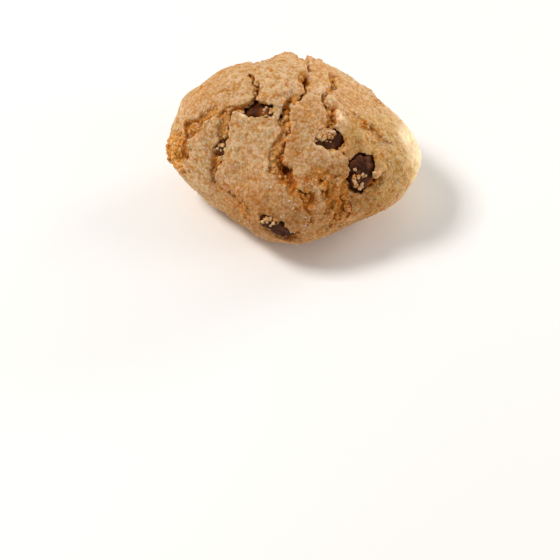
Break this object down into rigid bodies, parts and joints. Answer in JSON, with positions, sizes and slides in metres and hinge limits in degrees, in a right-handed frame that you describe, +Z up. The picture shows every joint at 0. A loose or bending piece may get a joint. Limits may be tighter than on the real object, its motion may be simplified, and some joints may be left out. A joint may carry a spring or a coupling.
{
  "type": "amaretti cookie",
  "caption": "Domed, cracked amaretti cookie with a crusty sugared top, a flat underside and raisins showing in its cracks.",
  "frame": {"origin": "middle of the flat underside, at the centre of the outline seen from above", "axes": "+X along the length, +Y towards the back, +Z up; the side with the two deep front cracks and most raisins faces -Y"},
  "size_m": [0.0578, 0.0485, 0.0353],
  "materials": {
    "crust": "dry, crumbly baked crust with sugar grains, golden brown on the plates and paler at the right end",
    "raisin": "dark, wrinkled, slightly sticky dried fruit"
  },
  "bodies": {
    "root": {"dough": "crust", "raisin_1": "raisin", "raisin_2": "raisin", "raisin_3": "raisin", "raisin_4": "raisin", "raisin_5": "raisin", "raisin_6": "raisin", "raisin_7": "raisin"}
  },
  "joints": []
}
